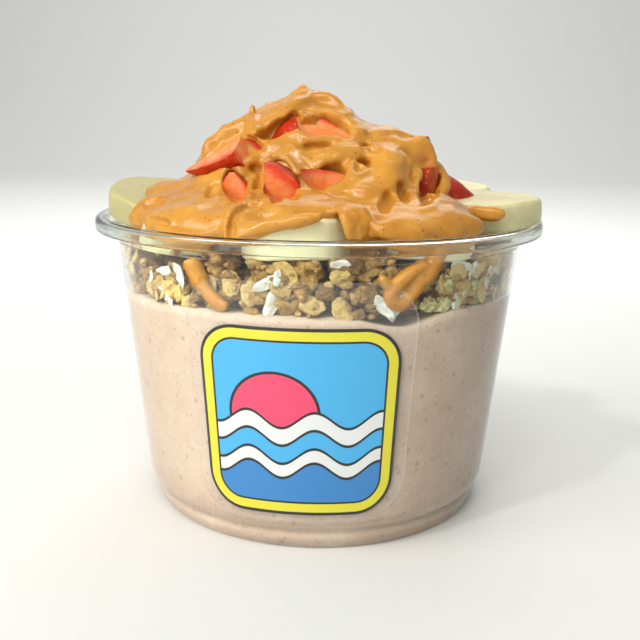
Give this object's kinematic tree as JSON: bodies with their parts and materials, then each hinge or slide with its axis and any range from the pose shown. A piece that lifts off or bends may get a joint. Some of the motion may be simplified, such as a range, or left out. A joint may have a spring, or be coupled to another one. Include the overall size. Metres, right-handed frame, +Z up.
{
  "type": "acai bowl",
  "caption": "Fruit smoothie bowl in a clear flared plastic cup, layered with granola, topped with banana slices, diced strawberry and poured nut butter.",
  "frame": {"origin": "centre of the cup's base, on the surface it stands on", "axes": "+Z up along the cup's axis; -Y towards the label, which is the front; +X to the right as seen from the front"},
  "size_m": [0.117, 0.117, 0.1102],
  "materials": {
    "clear_pet": "clear thermoformed PET plastic",
    "label_film": "printed self-adhesive film",
    "smoothie": "thick blended fruit with fine specks",
    "granola": "baked oat clusters with coconut flakes",
    "banana": "moist cut fruit",
    "strawberry": "wet fruit, skin and cut faces",
    "nut_butter": "glossy, thick, poured"
  },
  "bodies": {
    "root": {"cup": "clear_pet", "label": "label_film", "smoothie": "smoothie", "granola": "granola", "banana_front": "banana", "banana_front_left": "banana", "banana_left": "banana", "banana_front_right": "banana", "banana_right": "banana", "banana_back_right": "banana", "banana_back": "banana", "banana_back_left": "banana", "banana_left_back": "banana", "strawberry_left": "strawberry", "strawberry_upper_left": "strawberry", "strawberry_top_left": "strawberry", "strawberry_top": "strawberry", "strawberry_low_left": "strawberry", "strawberry_middle": "strawberry", "strawberry_inner": "strawberry", "strawberry_under_fold": "strawberry", "strawberry_low_right": "strawberry", "strawberry_right": "strawberry", "strawberry_finger": "strawberry", "strawberry_far_right": "strawberry", "strawberry_back_top": "strawberry", "strawberry_back_right": "strawberry", "strawberry_back_low": "strawberry", "strawberry_back_left": "strawberry", "strawberry_back_side": "strawberry", "nut_butter": "nut_butter"}
  },
  "joints": []
}
